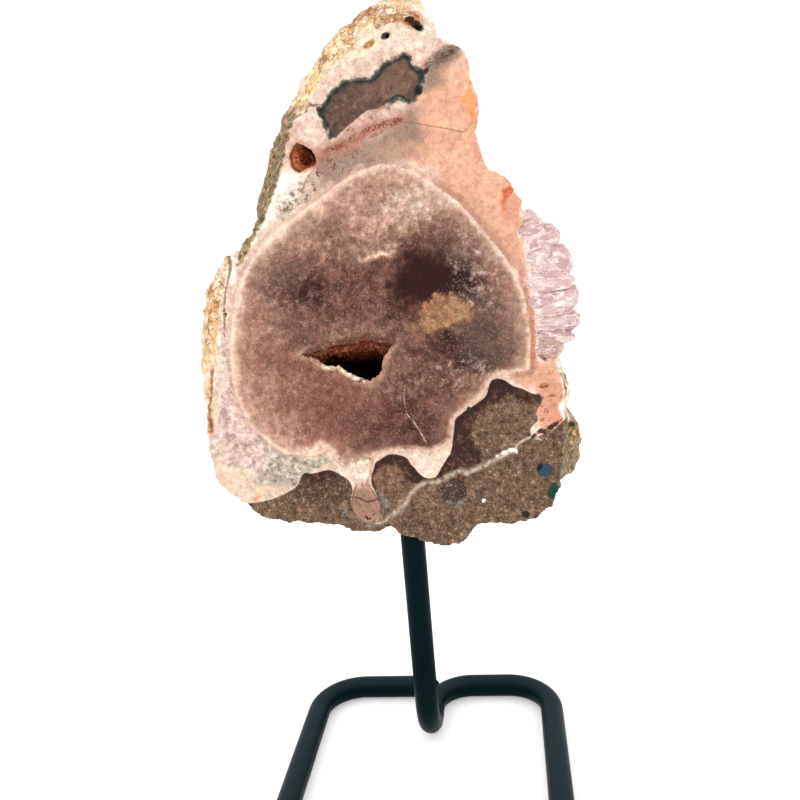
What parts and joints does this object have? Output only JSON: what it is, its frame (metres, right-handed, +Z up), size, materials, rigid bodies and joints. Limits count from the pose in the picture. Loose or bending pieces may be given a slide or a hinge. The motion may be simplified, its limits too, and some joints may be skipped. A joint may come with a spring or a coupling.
{
  "type": "amethyst slab on stand",
  "caption": "Upright slice of pink amethyst geode, polished in front with natural rind and a crystal-lined hollow, glued on a square stand bent from black rod.",
  "frame": {"origin": "middle of the overall box, on the surface that the stand rests on", "axes": "+Z up along the stand's upright, +Y away from the polished face, +X to the right seen from in front"},
  "size_m": [0.122, 0.095, 0.2484],
  "materials": {
    "geode_stone": "satin",
    "dark_druse": "satin",
    "orange_druse": "satin",
    "black_rod": "satin"
  },
  "bodies": {
    "root": {"amethyst_slab": "geode_stone", "hollow_crystals": "dark_druse", "small_hollow_crystals": "orange_druse", "stand_rod": "black_rod"}
  },
  "joints": []
}
